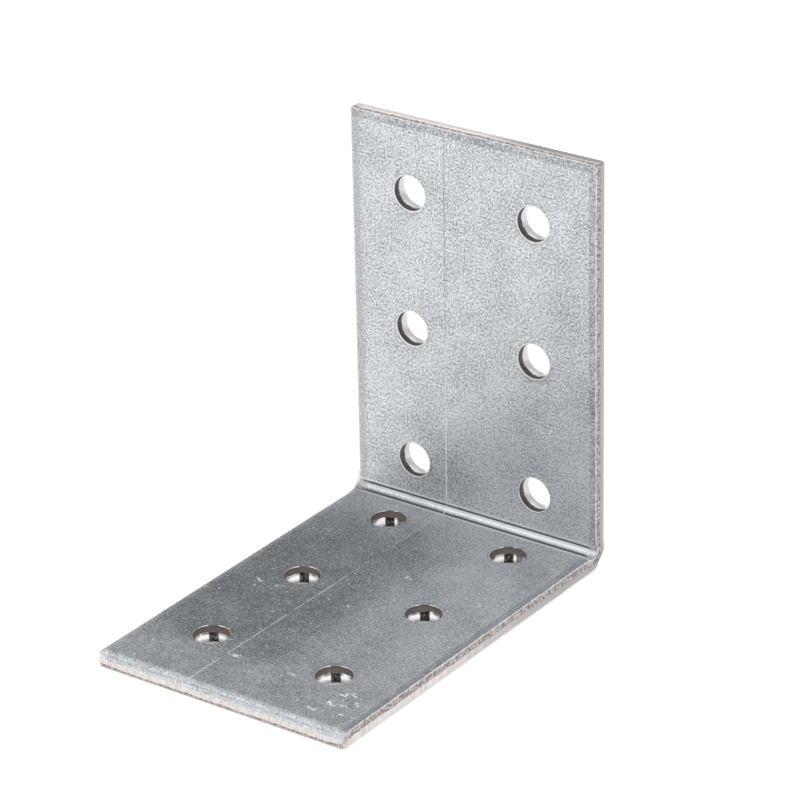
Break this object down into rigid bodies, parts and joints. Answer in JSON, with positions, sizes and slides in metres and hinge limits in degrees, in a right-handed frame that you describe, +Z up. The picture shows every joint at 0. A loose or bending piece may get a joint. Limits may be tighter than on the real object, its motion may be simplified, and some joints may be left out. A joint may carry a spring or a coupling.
{
  "type": "angle bracket",
  "caption": "Right-angle bracket folded from galvanised sheet, with a grid of nail holes in an upright leg and a base leg of equal width.",
  "frame": {"origin": "middle of the bracket's outline on the underside plane", "axes": "+X along the bend, +Y towards the back face of the upright leg, +Z up along the upright leg"},
  "size_m": [0.0408, 0.0604, 0.0595],
  "materials": {
    "galvanised_sheet": "galvanised sheet with a fine speckled spangle, bare steel on the sheared edges and in the holes"
  },
  "bodies": {
    "root": {"bracket": "galvanised_sheet"}
  },
  "joints": []
}
